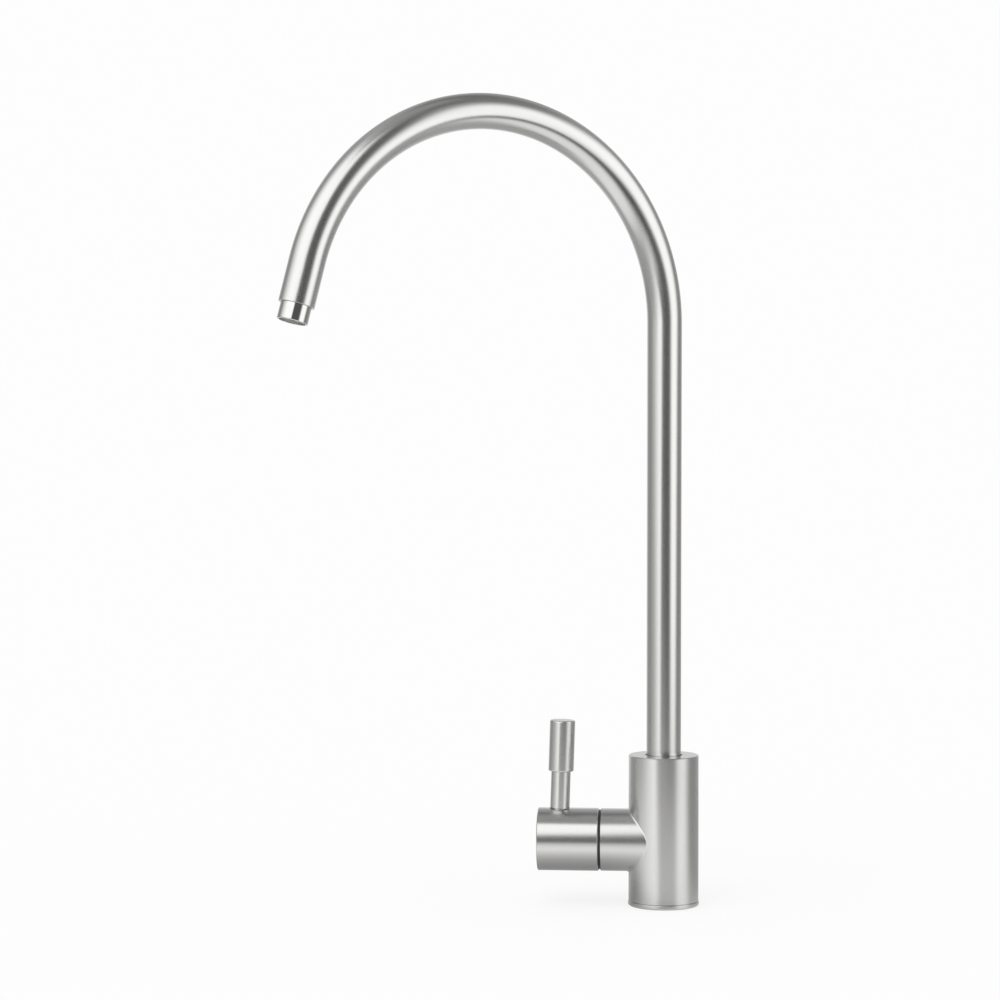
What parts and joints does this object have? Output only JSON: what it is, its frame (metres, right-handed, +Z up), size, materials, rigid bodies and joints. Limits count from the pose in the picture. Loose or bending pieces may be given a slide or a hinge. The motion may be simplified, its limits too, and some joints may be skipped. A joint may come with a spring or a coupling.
{
  "type": "drinking water filter tap",
  "caption": "Deck-mounted filtered water tap with an upright round body, a side valve worked by a small pin lever, and a tall swivelling gooseneck spout in brushed steel.",
  "frame": {"origin": "centre of the inlet thread at the underside of the foot, level with the worktop", "axes": "+Z up along the body and the spout's rise; the valve branch and its handle point along -X; the user stands on the -Y side and the lever swings towards -Y to open"},
  "size_m": [0.1575, 0.1147, 0.3246],
  "materials": {
    "satin_steel": "satin brushed stainless steel, grain along the tube and round the hub",
    "polished_steel": "mirror polished",
    "brass": "turned brass",
    "seal_rubber": "smooth black seal rubber",
    "ceramic": "lapped white ceramic",
    "black_plastic": "moulded black",
    "white_plastic": "moulded white",
    "screw_steel": "dark stainless set screw"
  },
  "bodies": {
    "tap": {"tap_body": "satin_steel", "base_ring": "satin_steel", "base_gasket": "seal_rubber", "spout_lock_screw": "screw_steel", "spout_slide_ring": "black_plastic", "cartridge_body": "brass", "cartridge_seal": "seal_rubber", "cartridge_oring": "seal_rubber", "fixed_disc": "ceramic", "thrust_washer": "white_plastic", "hub_glide_ring": "black_plastic"},
    "spout": {"spout_tube": "satin_steel", "spout_foot": "brass", "spout_oring_lower": "seal_rubber", "spout_oring_upper": "seal_rubber", "outlet_sleeve": "polished_steel", "straightener_washer": "seal_rubber", "outlet_screen": "polished_steel", "flow_straightener": "white_plastic"},
    "handle": {"handle_hub": "satin_steel", "lever_stem": "satin_steel", "lever_grip": "satin_steel", "hub_grub_screw": "screw_steel", "spindle": "brass", "moving_disc": "ceramic", "spindle_oring": "seal_rubber", "spindle_clip": "screw_steel"}
  },
  "joints": [
    {"name": "spout_swivel", "type": "hinge", "parent": "tap", "child": "spout", "pos_m": [0, 0, 0.0475], "axis": [0, 0, 1], "continuous": true},
    {"name": "handle_turn", "type": "hinge", "parent": "tap", "child": "handle", "pos_m": [-0.0422, 0, 0.0264], "axis": [1, 0, 0], "range_deg": [0, 90]}
  ]
}
